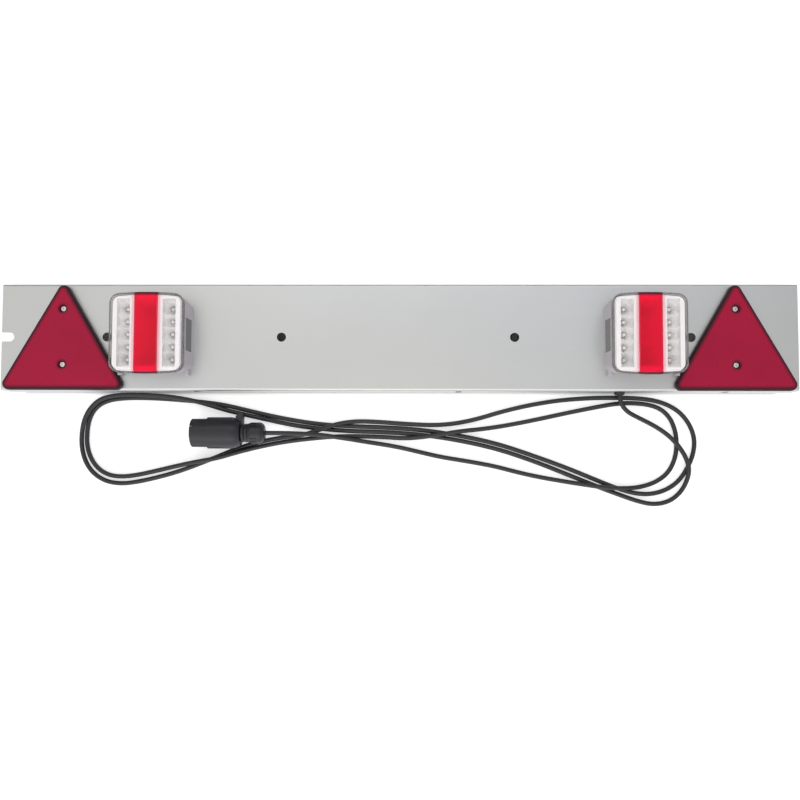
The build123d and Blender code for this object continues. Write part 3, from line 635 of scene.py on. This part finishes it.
# Supply cable: a round cable with a black sheath that leaves by the gland and lies in two loose rounds.
# It ends in the plug. The points are its control points in metres.
cable_width = 0.006
cable_route = (
    (0.2915, -0.0675, 0.0170), (0.2915, -0.0820, 0.0170), (0.3010, -0.0955, 0.0143),
    (0.3205, -0.1043, 0.0086), (0.3400, -0.1134, 0.0046), (0.3555, -0.1243, 0.0076),
    (0.3685, -0.1378, 0.0099), (0.3793, -0.1540, 0.0098), (0.3846, -0.1710, 0.0097),
    (0.3815, -0.1886, 0.0056), (0.3723, -0.2042, 0.0030), (0.3572, -0.2148, 0.0030),
    (0.3373, -0.2180, 0.0030), (0.3165, -0.2133, 0.0030), (0.2940, -0.2054, 0.0030),
    (0.2700, -0.1966, 0.0030), (0.2240, -0.1781, 0.0030), (0.1820, -0.1614, 0.0030),
    (0.1310, -0.1443, 0.0030), (0.0800, -0.1332, 0.0030), (0.0300, -0.1258, 0.0030),
    (-0.0200, -0.1226, 0.0030), (-0.0650, -0.1216, 0.0030), (-0.1060, -0.1184, 0.0030),
    (-0.1430, -0.1134, 0.0030), (-0.1840, -0.1043, 0.0030), (-0.2130, -0.0979, 0.0030),
    (-0.2320, -0.0934, 0.0054), (-0.2510, -0.0874, 0.0093), (-0.2770, -0.0806, 0.0095),
    (-0.3080, -0.0757, 0.0088), (-0.3450, -0.0739, 0.0088), (-0.3745, -0.0742, 0.0088),
    (-0.3960, -0.0786, 0.0092), (-0.4100, -0.0910, 0.0092), (-0.4186, -0.1065, 0.0075),
    (-0.4228, -0.1235, 0.0042), (-0.4234, -0.1405, 0.0030), (-0.4200, -0.1570, 0.0030),
    (-0.4125, -0.1720, 0.0030), (-0.4005, -0.1835, 0.0030), (-0.3850, -0.1905, 0.0030),
    (-0.3670, -0.1923, 0.0030), (-0.3480, -0.1900, 0.0030), (-0.3220, -0.1843, 0.0030),
    (-0.2950, -0.1768, 0.0030), (-0.2680, -0.1670, 0.0030), (-0.2400, -0.1556, 0.0030),
    (-0.2110, -0.1436, 0.0030), (-0.1800, -0.1349, 0.0030), (-0.1510, -0.1296, 0.0036),
    (-0.1260, -0.1272, 0.0084), (-0.1050, -0.1205, 0.0098), (-0.0820, -0.1124, 0.0099),
    (-0.0560, -0.1082, 0.0062), (-0.0240, -0.1092, 0.0030), (0.0110, -0.1120, 0.0030),
    (0.0560, -0.1138, 0.0030), (0.0970, -0.1078, 0.0030), (0.1480, -0.0922, 0.0030),
    (0.2000, -0.0816, 0.0030), (0.2480, -0.0769, 0.0030), (0.2960, -0.0761, 0.0030),
    (0.3290, -0.0776, 0.0030), (0.3525, -0.0826, 0.0030), (0.3730, -0.0934, 0.0030),
    (0.3870, -0.1103, 0.0030), (0.3940, -0.1300, 0.0030), (0.3923, -0.1500, 0.0030),
    (0.3845, -0.1685, 0.0030), (0.3730, -0.1862, 0.0030), (0.3560, -0.1986, 0.0030),
    (0.3350, -0.2046, 0.0030), (0.3125, -0.2032, 0.0030), (0.2890, -0.1960, 0.0030),
    (0.2660, -0.1869, 0.0030), (0.2250, -0.1700, 0.0030), (0.1830, -0.1547, 0.0030),
    (0.1320, -0.1376, 0.0030), (0.0800, -0.1266, 0.0030), (0.0300, -0.1194, 0.0030),
    (-0.0200, -0.1163, 0.0030), (-0.0650, -0.1150, 0.0030), (-0.1090, -0.1122, 0.0030),
    (-0.1600, -0.1037, 0.0030), (-0.2050, -0.0932, 0.0030), (-0.2320, -0.0869, 0.0030),
    (-0.2600, -0.0830, 0.0030), (-0.2920, -0.0803, 0.0030), (-0.3300, -0.0777, 0.0030),
    (-0.3665, -0.0777, 0.0030), (-0.3905, -0.0813, 0.0030), (-0.4060, -0.0911, 0.0030),
    (-0.4140, -0.1066, 0.0030), (-0.4162, -0.1240, 0.0030), (-0.4160, -0.1410, 0.0030),
    (-0.4113, -0.1570, 0.0030), (-0.4020, -0.1710, 0.0030), (-0.3880, -0.1803, 0.0030),
    (-0.3710, -0.1832, 0.0030), (-0.3500, -0.1813, 0.0030), (-0.3200, -0.1746, 0.0036),
    (-0.2920, -0.1680, 0.0064), (-0.2670, -0.1628, 0.0096), (-0.2400, -0.1584, 0.0096),
    (-0.2130, -0.1499, 0.0066), (-0.1810, -0.1417, 0.0030), (-0.1480, -0.1354, 0.0030),
    (-0.1150, -0.1314, 0.0030), (-0.0820, -0.1286, 0.0030), (-0.0480, -0.1284, 0.0030),
    (-0.0180, -0.1294, 0.0030), (0.0090, -0.1313, 0.0048), (0.0310, -0.1297, 0.0090),
    (0.0570, -0.1260, 0.0096), (0.0840, -0.1214, 0.0094), (0.1120, -0.1186, 0.0046),
    (0.1420, -0.1141, 0.0030), (0.1800, -0.1067, 0.0030), (0.2200, -0.0979, 0.0030),
    (0.2600, -0.0896, 0.0030), (0.2970, -0.0830, 0.0030), (0.3275, -0.0842, 0.0030),
    (0.3480, -0.0898, 0.0030), (0.3612, -0.1019, 0.0030), (0.3683, -0.1186, 0.0030),
    (0.3703, -0.1375, 0.0030), (0.3678, -0.1570, 0.0030), (0.3588, -0.1756, 0.0030),
    (0.3430, -0.1878, 0.0030), (0.3220, -0.1948, 0.0046), (0.2990, -0.1966, 0.0099),
    (0.2760, -0.1958, 0.0098), (0.2520, -0.1926, 0.0095), (0.2220, -0.1880, 0.0038),
    (0.1870, -0.1820, 0.0030), (0.1580, -0.1756, 0.0030), (0.1290, -0.1679, 0.0030),
    (0.0930, -0.1614, 0.0030), (0.0570, -0.1558, 0.0030), (0.0300, -0.1495, 0.0030),
    (-0.0040, -0.1416, 0.0030), (-0.0420, -0.1360, 0.0046), (-0.0640, -0.1324, 0.0089),
    (-0.0820, -0.1298, 0.0105), (-0.1030, -0.1270, 0.0139), (-0.1240, -0.1258, 0.0174),
    (-0.1480, -0.1251, 0.0199), (-0.1680, -0.1250, 0.0207), (-0.1850, -0.1250, 0.0207),
)
line_steps = 8
sheath_steps = 5
cable_line = bpy.data.curves.new("supply_cable_line", "CURVE")
cable_line.dimensions = "3D"
cable_line.resolution_u = line_steps
cable_line.bevel_depth = cable_width / 2
cable_line.bevel_resolution = sheath_steps
cable_line.use_fill_caps = True
spline = cable_line.splines.new("NURBS")
spline.points.add(len(cable_route) - 1)
for point, corner in zip(spline.points, cable_route):
    point.co = (*corner, 1)
spline.order_u = 3
spline.use_endpoint_u = True
cable = bpy.data.objects.new("cable_sheath", cable_line)
scene.collection.objects.link(cable)
sheath_black = moulded_finish(
    "sheath_black",
    dark=(0.0135, 0.013, 0.0155),
    light=(0.023, 0.022, 0.0252),
    gloss=(0.36, 0.5),
    grain_scale=700.0,
    grain_depth=0.0001,
)
dress(cable, sheath_black)
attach(cable, "root")
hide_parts("supply_cable")

# Plug: a moulded 7-pin plug with a sleeve, a catch lug and a ribbed nut that grips the cable.
# The pins are brass and stand in an insert inside the sleeve.
plug_black = moulded_finish(
    "plug_black",
    dark=(0.0115, 0.0115, 0.0155),
    light=(0.018, 0.018, 0.0235),
    gloss=(0.37, 0.48),
    grain_scale=1600.0,
    grain_depth=0.0001,
)
pin_brass = moulded_finish(
    "pin_brass",
    dark=(0.70, 0.50, 0.19),
    light=(0.80, 0.61, 0.27),
    gloss=(0.2, 0.34),
    grain_scale=800.0,
    grain_depth=0.00003,
    Metallic=1.0,
)
for name in ("plug_shell", "plug_insert", "plug_gland_nut"):
    dress(nodes[name], plug_black)
dress(nodes["plug_pins"], pin_brass)
